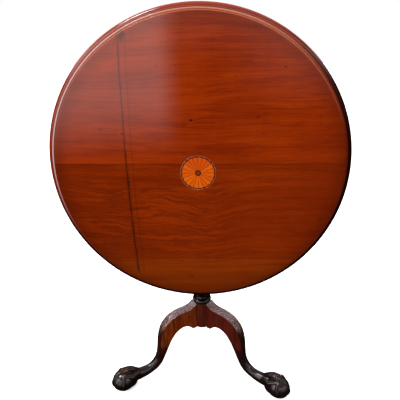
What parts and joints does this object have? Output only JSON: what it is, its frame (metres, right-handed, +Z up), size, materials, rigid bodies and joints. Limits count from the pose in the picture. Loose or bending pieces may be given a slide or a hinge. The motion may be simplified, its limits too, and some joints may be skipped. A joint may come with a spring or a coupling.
{
  "type": "tilt top table",
  "caption": "Round pedestal tea table whose moulded, inlaid top tilts upright on a turning cage, over a turned pillar and cabriole legs with ball-and-claw feet.",
  "frame": {"origin": "on the floor, under the middle of the bounding box of the table with its top upright", "axes": "+Z up; the face of the upright top looks along -Y; +X is to the right of a person who faces the top; the tilt axis is parallel to X"},
  "size_m": [0.7998, 0.5436, 1.1825],
  "materials": {
    "top_wood": "french-polished red mahogany",
    "base_wood": "french-polished dark mahogany",
    "under_wood": "dry oiled mahogany",
    "satinwood": "polished satinwood, sand-shaded",
    "pale_inlay": "polished boxwood",
    "dark_inlay": "polished dyed holly",
    "eye_inlay": "polished mahogany",
    "brass": "aged brass",
    "iron": "dark wrought iron",
    "spring_steel": "spring wire"
  },
  "bodies": {
    "base": {"pillar": "base_wood", "leg_left": "base_wood", "leg_right": "base_wood", "leg_back": "base_wood", "leg_spider": "iron", "spider_screws": "iron", "cage_collar": "base_wood", "cage_wedge": "under_wood"},
    "cage": {"cage_top_plate": "under_wood", "cage_bottom_plate": "under_wood", "baluster_front_left": "base_wood", "baluster_front_right": "base_wood", "baluster_back_left": "base_wood", "baluster_back_right": "base_wood", "keeper_plate": "brass", "keeper_screws": "brass"},
    "top": {"top_board_upper": "top_wood", "top_board_middle": "top_wood", "top_board_lower": "top_wood", "inlay_stringing": "pale_inlay", "inlay_blocks_dark": "dark_inlay", "inlay_blocks_light": "satinwood", "inlay_petals": "satinwood", "inlay_eye_ring": "dark_inlay", "inlay_eye": "eye_inlay", "batten_left": "under_wood", "batten_right": "under_wood", "batten_screws": "iron", "catch_case": "brass", "catch_spring": "spring_steel", "catch_screws": "brass"},
    "catch_bolt": {"catch_bolt": "brass", "catch_knob": "brass"}
  },
  "joints": [
    {"name": "cage_spin", "type": "hinge", "parent": "base", "child": "cage", "pos_m": [0, -0.07266, 0.6], "axis": [0, 0, 1], "continuous": true},
    {"name": "top_tilt", "type": "hinge", "parent": "cage", "child": "top", "pos_m": [0, -0.17666, 0.6785], "axis": [1, 0, 0], "range_deg": [-90, 0]},
    {"name": "bolt_slide", "type": "slide", "parent": "top", "child": "catch_bolt", "axis": [0, 0, 1], "range_m": [0, 0.008], "stiffness_N_per_m": 200, "springref_m": -0.01, "deforming": ["catch_spring"]}
  ]
}
